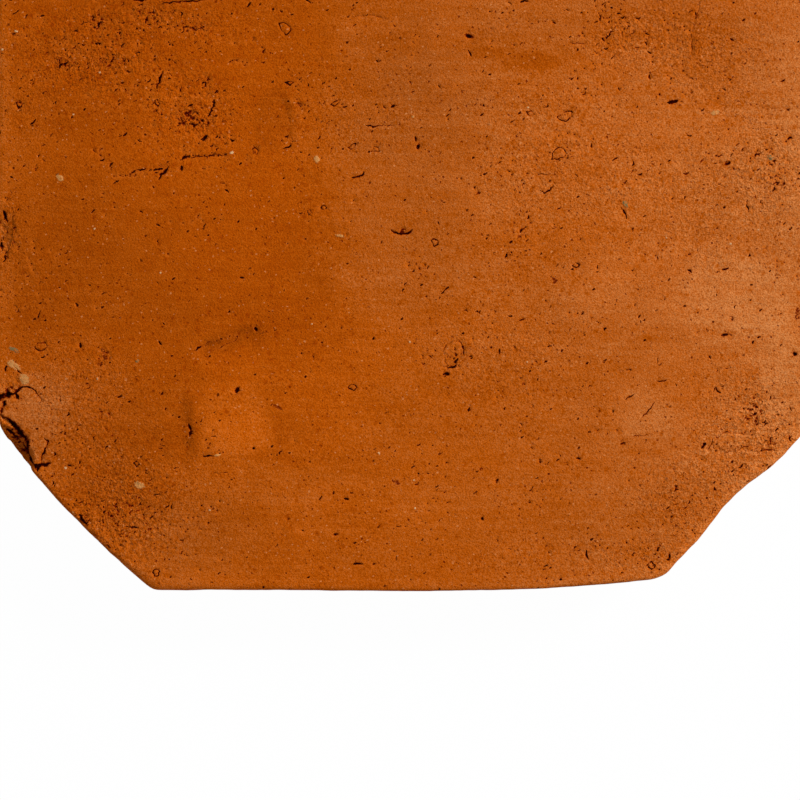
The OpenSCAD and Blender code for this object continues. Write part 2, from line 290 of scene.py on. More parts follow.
# Broad patches of the face: pixels x, y, the two radii, the angle of the first, how sharp and how much
DUSTY_PATCHES = [
    (736, 294, 60, 46, -15, 14, 0.22), (782, 378, 26, 54, 0, 9, 0.18), (745, 408, 34, 36, 0, 4, 0.10),
    (688, 374, 76, 34, -12, 24, -0.11), (600, 312, 110, 22, -4, 8, 0.05), (585, 285, 50, 26, 0, 4, 0.10),
    (645, 405, 34, 28, 0, 4, 0.16), (30, 410, 40, 44, 0, 4, 0.42), (70, 390, 60, 60, 0, 3, 0.15),
    (170, 545, 90, 50, 0, 3, 0.22), (2, 90, 9, 120, 0, 3, 0.15), (4, 280, 14, 70, 0, 3, 0.2),
    (20, 170, 30, 80, 0, 3, 0.12), (792, 150, 22, 100, 0, 3, 0.12), (740, 12, 90, 40, 0, 3, -0.15),
    (385, 30, 45, 45, 0, 3, -0.12), (530, 63, 34, 11, 0, 10, -0.34), (490, 54, 16, 6, 0, 8, -0.24),
    (566, 50, 16, 5, 8, 8, -0.16), (606, 36, 26, 16, 0, 5, -0.16), (120, 40, 120, 55, 0, 4, -0.09),
    (720, 205, 60, 60, 0, 4, -0.05), (640, 14, 50, 9, 0, 4, -0.12), (716, 58, 28, 44, 0, 6, -0.16),
    (694, 30, 7, 34, 6, 6, -0.16), (650, 40, 26, 12, 0, 8, -0.10), (545, 245, 70, 18, 0, 3, -0.08),
    (420, 330, 90, 26, -8, 3, -0.08), (234, 424, 38, 42, 0, 9, 0.20), (255, 486, 75, 24, 0, 4, 0.15),
    (185, 474, 46, 18, 0, 4, 0.08), (66, 474, 22, 18, 0, 4, 0.14), (220, 530, 90, 50, 0, 4, 0.12),
    (380, 490, 110, 100, 0, 4, 0.12), (80, 420, 80, 60, 0, 4, 0.10), (690, 530, 50, 35, 0, 4, -0.12),
    (240, 578, 110, 24, 0, 4, 0.10), (360, 530, 50, 40, 0, 4, 0.06), (650, 422, 30, 26, 0, 6, 0.10),
    (765, 205, 50, 70, 0, 4, 0.06), (730, 50, 80, 60, 0, 4, -0.07), (318, 125, 32, 55, 0, 6, 0.12),
    (250, 190, 84, 140, 0, 5, -0.08), (300, 330, 70, 40, 0, 4, -0.06), (15, 441, 24, 8, -52, 6, -0.5),
    (560, 130, 130, 90, 0, 4, 0.06), (47, 450, 20, 24, 0, 4, 0.13),
]
# Paler and darker patches, mostly the clay's own tone. Some are painted light and shade of the relief: the
# lit lump at 230, 418, at 238, 436 and at 234, 370; painted shade on the walls of the oval hollow at 273,
# 122, of the ledge at 228, 341 and of the lump's left edge at 189, 425; and a painted shadow at 288, 433
PATCHES_OF_TONE_AND_PAINTED_LIGHT = [
    (85, 265, 85, 75, 0, 3, -0.07), (235, 120, 90, 130, 0, 3, 0.11), (273, 122, 20, 31, -8, 9, -0.17),
    (230, 418, 37, 39, 20, 7, 0.14), (238, 436, 38, 30, -15, 7, 0.11), (288, 433, 20, 14, 0, 4, -0.06),
    (234, 370, 36, 24, 0, 4, 0.12), (440, 250, 90, 60, 0, 3, -0.025), (195, 475, 46, 18, 0, 4, 0.05),
    (190, 75, 36, 28, 0, 4, 0.04), (330, 400, 60, 60, 0, 3, 0.07), (228, 341, 36, 9, 20, 4, -0.17),
    (400, 510, 110, 70, 0, 3, 0.06), (765, 205, 60, 90, 0, 3, -0.08), (20, 300, 30, 60, 0, 3, -0.05),
    (250, 190, 84, 140, 0, 5, 0.05), (310, 350, 110, 60, 0, 4, 0.04), (410, 150, 66, 150, 0, 5, -0.06),
    (730, 50, 80, 60, 0, 4, -0.03), (80, 420, 80, 60, 0, 4, -0.03), (189, 425, 7, 30, 4, 4, -0.12),
    (120, 480, 60, 45, 0, 3, -0.08), (650, 525, 70, 35, 0, 3, -0.06), (688, 374, 76, 34, -12, 24, -0.02),
    (715, 50, 60, 45, 0, 3, -0.08), (560, 20, 140, 40, 0, 3, -0.09), (430, 100, 70, 70, 0, 3, -0.10),
    (230, 315, 70, 22, 0, 3, -0.06), (300, 400, 140, 130, 0, 3, 0.05), (200, 520, 60, 40, 0, 4, -0.06),
    (50, 425, 45, 40, 0, 4, -0.07), (500, 80, 28, 28, 0, 4, -0.03), (785, 275, 25, 30, 0, 4, -0.05),
    (650, 75, 44, 34, 0, 4, -0.06), (270, 578, 110, 24, 0, 4, 0.04), (210, 470, 40, 30, 0, 4, 0.05),
    (20, 40, 30, 50, 0, 4, 0.04), (720, 205, 60, 60, 0, 4, -0.03), (385, 25, 50, 35, 0, 4, -0.03),
    (720, 480, 50, 40, 0, 4, -0.03),
]
# Rough patches: pixels x, y, the two radii and how rough
ROUGH_PATCHES = [
    (150, 22, 90, 26, 0.7), (60, 55, 60, 34, 0.6), (110, 75, 60, 34, 0.5), (25, 118, 34, 30, 0.4),
    (190, 115, 50, 44, 0.8), (70, 400, 70, 70, 0.6), (110, 510, 80, 60, 0.9), (750, 430, 60, 60, 0.9),
    (690, 505, 60, 50, 0.7), (695, 50, 70, 50, 0.7), (622, 35, 40, 25, 0.6), (560, 170, 90, 90, 0.5),
    (720, 200, 90, 90, 0.5), (500, 350, 70, 60, 0.4), (8, 240, 16, 50, 0.6), (340, 115, 60, 50, 0.3),
    (770, 160, 40, 50, 0.5), (650, 560, 60, 20, 0.5), (550, 560, 80, 24, 0.3),
]

# Kinds of smooth waves in the clay: their size, or sizes along X, Y and Z, and a shift to keep them apart
LUMPS = ((13, 9, 9), 3.1)
BUMPS = ((4.2, 3.4, 3.4), 11.7)
FINE_GRAIN = ((1.7, 1.5, 1.5), 23.9)
STREAKS = ((24, 1.9, 1.9), 31.3)
SIDE_WAVES = ((9, 9, 4), 47.3)
SIDE_MOTTLE = ((18, 18, 5), 107.3)
SIDE_FLECKS = ((5, 5, 2), 113.9)
PATCH_EDGES = ((11, 7, 7), 61.7)
PATCH_FRAYS = ((3, 2.2, 2.2), 67.1)
DUST_FRONT = ((12, 8, 8), 97.3)
DUST_WAVES = ((22, 7, 7), 71.3)
DUST_FLECKS = ((7, 3, 3), 83.7)
DUST_STREAKS = ((45, 4, 4), 103.9)
WEAR_AND_LIGHT_WAVES = (8, 91.1)
FURROW_WIDTHS = (1.1, 13.7)
FURROW_TONES = (1.5, 17.9)
HOLE_EDGES = (0.8, 3.7)
STONE_EDGES = (0.9, 5.3)
HOLLOWS = ((0.9, 0.8, 0.9), 5.7)
SMALL_HOLLOWS = (0.5, 9.1)


def on_face(px, py):
    """The place on the face, in millimetres, that a pixel of the photograph shows."""
    return (px - TILE_CENTRE_PX[0]) / PX_PER_MM, (TILE_CENTRE_PX[1] - py) / PX_PER_MM


# The solid under the skin

class Solid:
    """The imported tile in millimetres, for finding where rays meet its surface."""

    def __init__(self, node):
        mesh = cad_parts[node].data
        points = [vertex.co / MM for vertex in mesh.vertices]
        self.tree = BVHTree.FromPolygons(points, [tuple(face.vertices) for face in mesh.polygons])
        low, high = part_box(node)
        self.low = np.array(low) / MM
        self.high = np.array(high) / MM

    def hit(self, start, way):
        """Where a ray from a point inside the solid leaves it."""
        return self.tree.ray_cast(Vector(start), Vector(way))[0]

    def face_height(self, x, y):
        return self.hit((x, y, self.high[2] / 2), (0, 0, 1)).z


def traced_outline(solid):
    """Points round the tile, in plan, evenly spaced but closer round the broken corner."""
    height = solid.high[2] * OUTLINE_HEIGHT
    angles = np.linspace(0, 2 * math.pi, OUTLINE_RAYS, endpoint=False)
    ring = np.array([solid.hit((0, 0, height), (math.cos(a), math.sin(a), 0))[:2] for a in angles])
    closed = np.vstack([ring, ring[:1]])
    lengths = np.linalg.norm(np.diff(closed, axis=0), axis=1)
    break_away = np.linalg.norm(ring - on_face(*BREAK_PX), axis=1) / BREAK_REACH
    density = 1 + BREAK_DENSITY * np.exp(-break_away ** BREAK_SHARP)
    travelled = np.concatenate([[0], np.cumsum(lengths * density)])
    count = int(travelled[-1] / EDGE_STEP)
    wanted = np.linspace(0, travelled[-1], count, endpoint=False)
    return np.column_stack([np.interp(wanted, travelled, closed[:, axis]) for axis in (0, 1)])


def edge_stations(solid):
    """The edge's rings from face to bed: height and inset of the rays' start, and their angle of rise."""
    upper = solid.high[2] - SWELL_ROOM - FAN
    arris = [(upper, FAN, RIM_ANGLE * (1 - k / ARRIS_RINGS)) for k in range(ARRIS_RINGS + 1)]
    side_heights = np.linspace(upper, FOOT_FAN, SIDE_RINGS + 1)[1:]
    side = [(height, FAN, 0) for height in side_heights]
    foot = [(FOOT_FAN, FOOT_INSET, -90 * (k + 1) / FOOT_RINGS) for k in range(FOOT_RINGS)]
    return arris + side + foot


def edge_rings(solid, outline):
    """The edge's points and the way out of the clay at each, ring by ring from the face to the bed."""
    ways_out = outline / np.linalg.norm(outline, axis=1)[:, None]
    points = []
    ways = []
    for height, inset, angle in edge_stations(solid):
        rise = math.sin(math.radians(angle))
        reach = math.cos(math.radians(angle))
        for (x, y), (out_x, out_y) in zip(outline, ways_out):
            way = (out_x * reach, out_y * reach, rise)
            points.append(solid.hit((x - out_x * inset, y - out_y * inset, height), way))
            ways.append(way)
    return np.array(points), np.array(ways)


# Shapes of the marks on the face

def eased(share):
    """A share from 0 to 1 that starts and ends gently."""
    share = np.clip(share, 0, 1)
    return share ** 2 * (3 - 2 * share)


class Oval:
    """An oval place on the face, in millimetres, with its own distance: 0 at its middle, 1 at its edge."""

    def __init__(self, px, py, long, wide, turn=0.0):
        self.x, self.y = on_face(px, py)
        self.long = long / PX_PER_MM
        self.wide = wide / PX_PER_MM
        self.cos = math.cos(math.radians(turn))
        self.sin = math.sin(math.radians(turn))
        self.radius = max(self.long, self.wide)

    def away(self, x, y):
        along = (x - self.x) * self.cos + (y - self.y) * self.sin
        across = (y - self.y) * self.cos - (x - self.x) * self.sin
        return np.hypot(along / self.long, across / self.wide)

    def ring(self, share, count):
        """Points round the oval, at a share of its size."""
        points = []
        for k in range(count):
            u = self.long * share * math.cos(2 * math.pi * k / count)
            v = self.wide * share * math.sin(2 * math.pi * k / count)
            points.append((self.x + u * self.cos - v * self.sin, self.y + u * self.sin + v * self.cos))
        return points


class Track:
    """A line of points on the face, in millimetres."""

    STEP = 0.32

    def __init__(self, line, width):
        self.line = np.array(line, float)
        self.spans = np.diff(self.line, axis=0)
        self.lengths = np.linalg.norm(self.spans, axis=1)
        self.x, self.y = (self.line.max(axis=0) + self.line.min(axis=0)) / 2
        self.reach = np.ptp(self.line, axis=0).max() / 2 + width

    def strips(self, offsets):
        """Points along the line, at each of the offsets to its left."""
        points = []
        for start, span, length in zip(self.line, self.spans, self.lengths):
            left = np.array([-span[1], span[0]]) / length
            steps = max(1, round(length / self.STEP))
            for k in range(steps + 1):
                points += [start + span * k / steps + left * offset for offset in offsets]
        return points

    def under(self, skin):
        """The face's points within reach, by number, each with its distance from the line, the share of the
        way along it, and whether it is on the right."""
        near = skin.face_near(self.x, self.y, self.reach)
        distance = np.full(len(near), np.inf)
        share = np.zeros(len(near))
        right = np.zeros(len(near), bool)
        gone = 0.0
        for start, span, length in zip(self.line, self.spans, self.lengths):
            dx = skin.x[near] - start[0]
            dy = skin.y[near] - start[1]
            t = np.clip((dx * span[0] + dy * span[1]) / length ** 2, 0, 1)
            away = np.hypot(dx - span[0] * t, dy - span[1] * t)
            closer = away < distance
            distance = np.where(closer, away, distance)
            share = np.where(closer, (gone + t * length) / self.lengths.sum(), share)
            right = np.where(closer, span[0] * dy - span[1] * dx < 0, right)
            gone += length
        return near, distance, share, right


class Furrow(Track):
    """A slit, tear or crack: a furrow darkened with painted shade, narrower towards its ends unless it is
    closed.
    """

    # Mesh points across it and beyond its ends, its reach and its depth, in half widths
    ACROSS = (-2.1, -1, 0, 1, 2.1)
    ENDS = (1, 2.1)
    REACH = 3
    DEPTH = 2.2
    STEEPNESS = 4
    # Share of the width at its ends, and how fast it widens along the way
    END_WIDTH = 0.5
    WIDENING = 2.5
    # How much its darkness varies along it, and within what
    UNEVEN_DARK = 1.1
    DARK_RANGE = (0.3, 1.2)

    def __init__(self, line, half_width, dark=1.0):
        super().__init__(line, self.REACH * half_width)
        self.half_width = half_width
        self.dark = dark
        self.closed = np.allclose(self.line[0], self.line[-1])

    def mesh_points(self):
        first_way = self.spans[0] / self.lengths[0]
        last_way = self.spans[-1] / self.lengths[-1]
        points = self.strips([s * self.half_width for s in self.ACROSS])
        points += [self.line[0] - first_way * self.half_width * s for s in self.ENDS]
        points += [self.line[-1] + last_way * self.half_width * s for s in self.ENDS]
        return points

    def press(self, skin):
        near, distance, share, _ = self.under(skin)
        to_end = np.minimum(share, 1 - share)
        narrowing = 1.0 if self.closed else np.minimum(1, self.END_WIDTH + self.WIDENING * to_end)
        uneven = narrowing * (1 + skin.waves(FURROW_WIDTHS, near))
        furrow = 1 / (1 + (distance / (self.half_width * uneven)) ** self.STEEPNESS)
        tone = np.clip(1 + self.UNEVEN_DARK * skin.waves(FURROW_TONES, near), *self.DARK_RANGE)
        skin.deepen(near, self.DEPTH * self.half_width * furrow)
        skin.darken(near, self.dark * tone * furrow)


class Ledge(Track):
    """A step in the face: right of the line's way it lies lower, and is level again within the spread."""

    # How fast the step grows from the line's ends
    GROWTH = 6

    def __init__(self, line, half_width, drop, spread):
        super().__init__(line, spread)
        self.half_width = half_width
        self.drop = drop
        self.spread = spread

    def mesh_points(self):
        return self.strips((-self.half_width, 0, self.half_width))

    def press(self, skin):
        near, distance, share, right = self.under(skin)
        step = eased(0.5 + np.where(right, 0.5, -0.5) * distance / self.half_width)
        fading = np.clip(1 - distance / self.spread, 0, 1) ** 2
        fading *= np.clip(self.GROWTH * np.minimum(share, 1 - share), 0, 1)
        skin.sink[near] += self.drop * step * fading


class Spot:
    """A mark that fills an oval. Each kind has rings of mesh points and a reach, in shares of the oval."""

    def __init__(self, oval):
        self.oval = oval

    def mesh_points(self):
        rings = [p for share in self.RINGS for p in self.oval.ring(share, self.ring_points)]
        return [(self.oval.x, self.oval.y)] + rings

    def under(self, skin):
        """The face's points within reach, by number, each with its distance in the oval's own measure."""
        near = skin.face_near(self.oval.x, self.oval.y, self.REACH * self.oval.radius)
        return near, self.oval.away(skin.x[near], skin.y[near])


class Pinhole(Spot):
    """A small pit, darkened with painted shade."""

    RINGS = (1.3,)
    ring_points = 6
    REACH = 2
    # Depth in half widths
    DEPTH = 2
    STEEPNESS = 6

    def __init__(self, oval, dark):
        super().__init__(oval)
        self.dark = dark

    def press(self, skin):
        near, away = self.under(skin)
        hollow = 1 / (1 + away ** self.STEEPNESS)
        skin.deepen(near, self.DEPTH * self.oval.wide * hollow)
        skin.darken(near, self.dark * hollow)


class Hole(Spot):
    """A hole wider than a slit, darkened inside with painted shade."""

    RINGS = (0.6, 0.95, 1.3, 1.8)
    ring_points = 9
    REACH = 2
    UNEVENNESS = 0.6
    # Depth in smaller radii
    DEPTH = 1.6
    STEEPNESS = 5

    def press(self, skin):
        near, away = self.under(skin)
        uneven = 1 + self.UNEVENNESS * skin.waves(HOLE_EDGES, near)
        hollow = 1 / (1 + (away * uneven) ** self.STEEPNESS)
        skin.sink[near] += self.DEPTH * min(self.oval.long, self.oval.wide) * hollow
        skin.darken(near, hollow)


class Stone(Spot):
    """A stone, grain or stain of another colour, which may stand a little out of the face."""

    RINGS = (0.5, 0.85, 1.1, 1.5)
    RING_STEP = 0.5
    FEWEST_POINTS = 6
    REACH = 1.7
    UNEVENNESS = 0.3
    # Where its colour ends, and over how much it fades
    COLOUR_END = 1.1
    COLOUR_FADE = 0.3

    def __init__(self, oval, colour, height, cover):
        super().__init__(oval)
        self.colour = colour
        self.height = height
        self.cover = cover
        self.ring_points = max(self.FEWEST_POINTS, round(2 * math.pi * oval.radius / self.RING_STEP))

    def press(self, skin):
        near, away = self.under(skin)
        away = away * (1 + self.UNEVENNESS * skin.waves(STONE_EDGES, near))
        skin.sink[near] -= self.height * np.sqrt(np.clip(1 - away ** 2, 0, 1))
        cover = self.cover * np.clip((self.COLOUR_END - away) / self.COLOUR_FADE, 0, 1)
        stronger = cover > skin.tint[near, 3]
        skin.tint[near[stronger], :3] = self.colour
        skin.tint[near[stronger], 3] = cover[stronger]
        skin.dark[near] *= 1 - cover


class Crumble(Spot):
    """A place where the skin has crumbled into small hollows, with painted shade, rust-brown, where they are
    deep.
    """

    REACH = 1.3
    # Strength at its middle, before it is cut to 1, and how fast it falls towards its edge
    STRENGTH = 1.5
    FALL = 1.3
    SMALL_SHARE = 0.7
    LEAST_HOLLOW = 0.06
    # Darkness for each millimetre of depth, which is painted shade, and roughness, each with the most it may
    # be
    DARK = 1.8
    DARKEST = 0.6
    ROUGH = 0.6
    ROUGHEST = 1.2

    def __init__(self, oval, amount):
        super().__init__(oval)
        self.amount = amount

    def mesh_points(self):
        middle = np.array((self.oval.x, self.oval.y))
        radius = self.oval.radius
        grid = hex_grid(middle - radius, middle + radius, CRUMBLE_STEP, random.Random(SEED))
        return list(grid[self.oval.away(grid[:, 0], grid[:, 1]) < 1])

    def press(self, skin):
        near, away = self.under(skin)
        amount = self.amount * np.clip(self.STRENGTH - self.FALL * away, 0, 1)
        hollows = skin.waves(HOLLOWS, near) + self.SMALL_SHARE * skin.waves(SMALL_HOLLOWS, near)
        depth = amount * np.clip(hollows - self.LEAST_HOLLOW, 0, 1)
        skin.sink[near] += depth
        skin.darken(near, np.clip(self.DARK * depth, 0, self.DARKEST))
        skin.rough[near] = np.clip(skin.rough[near] + self.ROUGH * amount, 0, self.ROUGHEST)


# The marks themselves

# How far a tear wanders from its line, as shares of its stretches and then of their halves
WANDERS = (0.14, 0.2)
# A faint line's half width in millimetres, and how dark it is
FAINT_HALF_WIDTH = 0.08
FAINT_DARK = 0.5
# A slit's half width in millimetres, its bend as a share of its length, and how dark it is
SLIT_HALF_WIDTH = (0.11, 0.19)
SLIT_BEND = 0.2
SLIT_DARK = (0.7, 1.1)
# The same for a grain's outline, with the bend as a share of its stretches
GRAIN_HALF_WIDTH = 0.10
GRAIN_BEND = 0.2
GRAIN_DARK = (0.65, 0.9)
# A pinhole's two radii in pixels, how dark it is, and the way that most of them lie, in degrees, with how
# much that varies
PIT_LONG = (0.6, 1.6)
PIT_WIDE = (0.45, 0.8)
PIT_DARK = (0.6, 1.2)
PIT_TURN = (35, 35)
# How far the pits of a row lie off its line, in pixels, and how far they turn from its way
ROW_SPREAD = 0.9
ROW_TURN = 25
# Other pinholes come in loose clusters: how many, what share of them in the rough patches, the most pits in
# one, and how far they spread in pixels
PIT_CLUSTERS = 400
ROUGH_SHARE = 0.5
CLUSTER_MOST = 6
CLUSTER_SPREAD = 12
# What share of those are short bent curls instead, their length in pixels, and the rest as for a slit
CURL_SHARE = 0.35
CURL_LENGTH = (2, 5)
CURL_HALF_WIDTH = (0.07, 0.12)
CURL_BEND = 0.45
CURL_DARK = (0.6, 1.1)
# Stones, grains and stains: where, their colour, how far they stand out in millimetres, and how well they
# cover the clay
STONE_KINDS = [
    (PALE_STONES, (0.54, 0.23, 0.066), 0.15, 0.8),
    (WHITE_GRAINS, (0.60, 0.34, 0.16), 0.1, 1.0),
    (GREY_STONES, (0.19, 0.13, 0.05), 0.1, 0.65),
    (RED_STAINS, (0.15, 0.014, 0.0008), -0.05, 0.68),
]


def wandered(points, share, dice):
    """A line with a point added in each stretch, off to a side by up to a share of the stretch."""
    bent = [points[0]]
    for a, b in zip(points[:-1], points[1:]):
        off = dice.uniform(-share, share) * np.array([a[1] - b[1], b[0] - a[0]])
        bent += [(a + b) / 2 + off, b]
    return bent


def line_on_face(pixels):
    return [np.array(on_face(*pixel)) for pixel in pixels]


def tear(pixels, half_width, dice, dark=1.0):
    """A furrow that wanders about a line."""
    line = line_on_face(pixels)
    for share in WANDERS:
        line = wandered(line, share, dice)
    return Furrow(line, half_width, dark)


def slit(row, dice):
    """A short bent furrow between two pixels, like a comma."""
    line = wandered(line_on_face([row[:2], row[2:]]), SLIT_BEND, dice)
    return Furrow(line, dice.uniform(*SLIT_HALF_WIDTH), dice.uniform(*SLIT_DARK))


def grain_outline(pixels, dice):
    line = wandered(line_on_face(pixels + pixels[:1]), GRAIN_BEND, dice)
    return Furrow(line, GRAIN_HALF_WIDTH, dice.uniform(*GRAIN_DARK))


def pinhole(px, py, turn, dice):
    """A small pit at a pixel, longer along an angle in degrees."""
    oval = Oval(px, py, dice.uniform(*PIT_LONG), dice.uniform(*PIT_WIDE), turn)
    return Pinhole(oval, dice.uniform(*PIT_DARK))


def curl(px, py, turn, dice):
    """A short bent furrow from a pixel, along an angle in degrees."""
    length = dice.uniform(*CURL_LENGTH)
    end = (px + length * math.cos(math.radians(turn)), py - length * math.sin(math.radians(turn)))
    line = wandered(line_on_face([(px, py), end]), CURL_BEND, dice)
    return Furrow(line, dice.uniform(*CURL_HALF_WIDTH), dice.uniform(*CURL_DARK))


def pit_row(line, density, dice):
    """Small pits along a line of pixels, a little to either side of it."""
    pits = []
    for (x, y), (next_x, next_y) in zip(line[:-1], line[1:]):
        turn = math.degrees(math.atan2(y - next_y, next_x - x))
        count = max(1, round(math.hypot(next_x - x, next_y - y) * density))
        for k in range(count):
            share = (k + dice.random()) / count
            px = dice.gauss(x + (next_x - x) * share, ROW_SPREAD)
            py = dice.gauss(y + (next_y - y) * share, ROW_SPREAD)
            pits.append(pinhole(px, py, dice.gauss(turn, ROW_TURN), dice))
    return pits


def photo_marks(dice):
    """The marks that the photograph shows."""
    marks = [Crumble(Oval(*place), amount) for *place, amount in CRUMBLED]
    marks += [Ledge(line_on_face(pixels), *sizes) for pixels, *sizes in LEDGES]
    marks += [tear(pixels, half_width / PX_PER_MM, dice) for pixels, half_width in TEARS]
    marks += [tear(pixels, FAINT_HALF_WIDTH, dice, FAINT_DARK) for pixels in FAINT_LINES]
    marks += [slit(row, dice) for row in SLITS]
    marks += [pit for pixels, density in PIT_ROWS for pit in pit_row(pixels, density, dice)]
    marks += [Hole(Oval(*place)) for place in HOLES]
    marks += [grain_outline(pixels, dice) for pixels in GRAINS]
    for places, *look in STONE_KINDS:
        marks += [Stone(Oval(*place), *look) for place in places]
    return marks


def cluster_centre(dice, solid):
    """A pixel anywhere on the face or in one of its rough patches."""
    if dice.random() < ROUGH_SHARE:
        px, py, long, wide, _ = dice.choices(ROUGH_PATCHES, [row[4] for row in ROUGH_PATCHES])[0]
        return dice.gauss(px, long / 2), dice.gauss(py, wide / 2)
    px = TILE_CENTRE_PX[0] + dice.uniform(solid.low[0], solid.high[0]) * PX_PER_MM
    py = TILE_CENTRE_PX[1] - dice.uniform(solid.low[1], solid.high[1]) * PX_PER_MM
    return px, py


def scattered_pits(dice, solid):
    """Pinholes and curls all over the face, in loose clusters."""
    pits = []
    for _ in range(PIT_CLUSTERS):
        px, py = cluster_centre(dice, solid)
        for _ in range(dice.randint(1, CLUSTER_MOST)):
            turn = dice.gauss(*PIT_TURN)
            x = dice.gauss(px, CLUSTER_SPREAD)
            y = dice.gauss(py, CLUSTER_SPREAD)
            kind = curl if dice.random() < CURL_SHARE else pinhole
            pits.append(kind(x, y, turn, dice))
    return pits


# The skin's mesh

# Settings of the triangulation: only what lies inside the ring, and what counts as one point
INSIDE_ONLY = 1
CLOSEST = 1e-7


def rim_gap(points, ring):
    """How far points lie inside a ring round the origin."""
    ring_angles = np.arctan2(ring[:, 1], ring[:, 0])
    order = np.argsort(ring_angles)
    radius = np.linalg.norm(ring, axis=1)
    angles = np.arctan2(points[:, 1], points[:, 0])
    limit = np.interp(angles, ring_angles[order], radius[order], period=2 * math.pi)
    return limit - np.linalg.norm(points, axis=1)


def hex_grid(low, high, step, dice):
    """Points of a slightly shaken grid of triangles."""
    rows = []
    row_step = step * math.sqrt(3) / 2
    count = int((high[0] - low[0]) / step) + 1
    for k in range(int((high[1] - low[1]) / row_step) + 1):
        start = low[0] + (step / 2 if k % 2 else 0)
        y = low[1] + k * row_step
        rows += [(start + i * step + dice.uniform(-GRID_SHAKE, GRID_SHAKE) * step, y) for i in range(count)]
    return np.array(rows)


def face_points(solid, ring, marks, dice):
    """Points inside the face's rim: those of the marks, then a grid where the marks leave room."""
    grid = hex_grid(solid.low, solid.high, FACE_STEP, dice)
    own = np.array([p for mark in marks for p in mark.mesh_points()])
    taken = set()
    kept = []
    for x, y in own[rim_gap(own, ring) > RIM_ROOM]:
        cell = (round(x / SAME_POINT), round(y / SAME_POINT))
        if cell not in taken:
            taken.add(cell)
            kept.append((x, y))
    room = FACE_STEP / 2
    crowded = {(math.floor(x / room), math.floor(y / room)) for x, y in kept}
    for x, y in grid[rim_gap(grid, ring) > room]:
        if (math.floor(x / room), math.floor(y / room)) not in crowded:
            kept.append((x, y))
    return np.array(kept)


def wall_faces(count, rings):
    """Triangles between rings of equal count, which are numbered one after the other."""
    faces = []
    for ring in range(rings - 1):
        for k in range(count):
            a = ring * count + k
            b = ring * count + (k + 1) % count
            faces += [(a, a + count, b), (b, a + count, b + count)]
    return faces


def cap_faces(ring, inner, ring_start, inner_start):
    """Triangles over a ring and the points inside it, seen from above, by their numbers in the skin."""
    count = len(ring)
    points = [Vector(p) for p in np.vstack([ring, inner])]
    edges = [(k, (k + 1) % count) for k in range(count)]
    made = delaunay_2d_cdt(points, edges, [], INSIDE_ONLY, CLOSEST)
    numbers = [ring_start + k for k in range(count)] + [inner_start + k for k in range(len(inner))]
    made_numbers = [numbers[origins[0]] for origins in made[3]]
    return [tuple(made_numbers[k] for k in face) for face in made[2]]


class Skin:
    """The tile's points, the way out of the clay at each, and what the marks do to them."""

    # The face is where the way out rises more than this, and the sides fade so fast as it turns up or down
    FACE_RISE = 0.1
    SIDE_FADE = 1.4
    # The upper part of the edge ends so far under the highest point
    UPPER_DEPTH = 5
    # How uneven the edges of patches are, broadly and finely
    BROAD_EDGE = 0.22
    FINE_EDGE = 0.12

    def __init__(self, points, ways, faces, outline):
        self.points = points
        self.ways = ways
        self.faces = faces
        self.x, self.y, self.z = points.T
        count = len(points)
        self.face = ways[:, 2] > self.FACE_RISE
        self.side = np.clip(1 - np.abs(ways[:, 2]) * self.SIDE_FADE, 0, 1)
        self.upper = np.clip(self.z - self.z.max() + self.UPPER_DEPTH, 0, 1)
        self.rim_gap = rim_gap(points[:, :2], outline)
        self.sink = np.zeros(count)
        self.dark = np.zeros(count)
        self.dust = np.zeros(count)
        self.shade = np.zeros(count)
        self.rough = np.zeros(count)
        self.tint = np.zeros((count, 4))

    def face_near(self, x, y, reach):
        near = (np.abs(self.x - x) < reach) & (np.abs(self.y - y) < reach) & self.face
        return np.flatnonzero(near)

    def deepen(self, near, depth):
        self.sink[near] = np.maximum(self.sink[near], depth)

    # Darkness is painted shade inside the marks' hollows: each point keeps the strongest that any mark gives
    def darken(self, near, dark):
        self.dark[near] = np.maximum(self.dark[near], dark)

    def waves(self, kind, near=slice(None)):
        """Smooth noise of a kind, from about -1 to 1."""
        sizes, shift = kind
        scaled = self.points[near] / np.array(sizes) + shift
        return np.array([noise.noise(Vector(p)) for p in scaled])

    def patches(self, rows):
        """Broad patches with uneven edges, added up."""
        uneven = 1 + self.BROAD_EDGE * self.waves(PATCH_EDGES) + self.FINE_EDGE * self.waves(PATCH_FRAYS)
        total = np.zeros(len(self.points))
        for *place, sharp, amount in rows:
            away = Oval(*place).away(self.x, self.y) * uneven
            total += amount * np.exp(-away ** sharp)
        return total


def laid_skin(solid, marks, dice):
    """The skin's points and faces over the solid, before any mark is pressed into it."""
    outline = traced_outline(solid)
    edge, edge_ways = edge_rings(solid, outline)
    count = len(outline)
    rim = edge[:count, :2]
    foot = edge[-count:, :2]
    face = face_points(solid, rim, marks, dice)
    heights = [solid.face_height(x, y) for x, y in face]
    bed = hex_grid(solid.low, solid.high, BED_STEP, dice)
    bed = bed[rim_gap(bed, foot) > BED_STEP / 2]
    points = np.vstack([edge, np.column_stack([face, heights]), np.pad(bed, ((0, 0), (0, 1)))])
    ups = np.tile((0.0, 0.0, 1.0), (len(face), 1))
    downs = np.tile((0.0, 0.0, -1.0), (len(bed), 1))
    ways = np.vstack([edge_ways, ups, downs])
    faces = wall_faces(count, len(edge) // count)
    faces += cap_faces(rim, face, 0, len(edge))
    bed_faces = cap_faces(foot, bed, len(edge) - count, len(edge) + len(face))
    faces += [numbers[::-1] for numbers in bed_faces]
    return Skin(points, ways, faces, outline)


# Relief and colour of the clay itself

# Heights of its unevenness on the face, and then on the sides, in millimetres
LUMP_HEIGHT = 0.10
BUMP_HEIGHT = 0.05
GRAIN_HEIGHT = 0.03
STREAK_HEIGHT = 0.03
SIDE_WAVE_HEIGHT = 0.22
SIDE_BUMP_HEIGHT = 0.14
SIDE_GRAIN_HEIGHT = 0.05
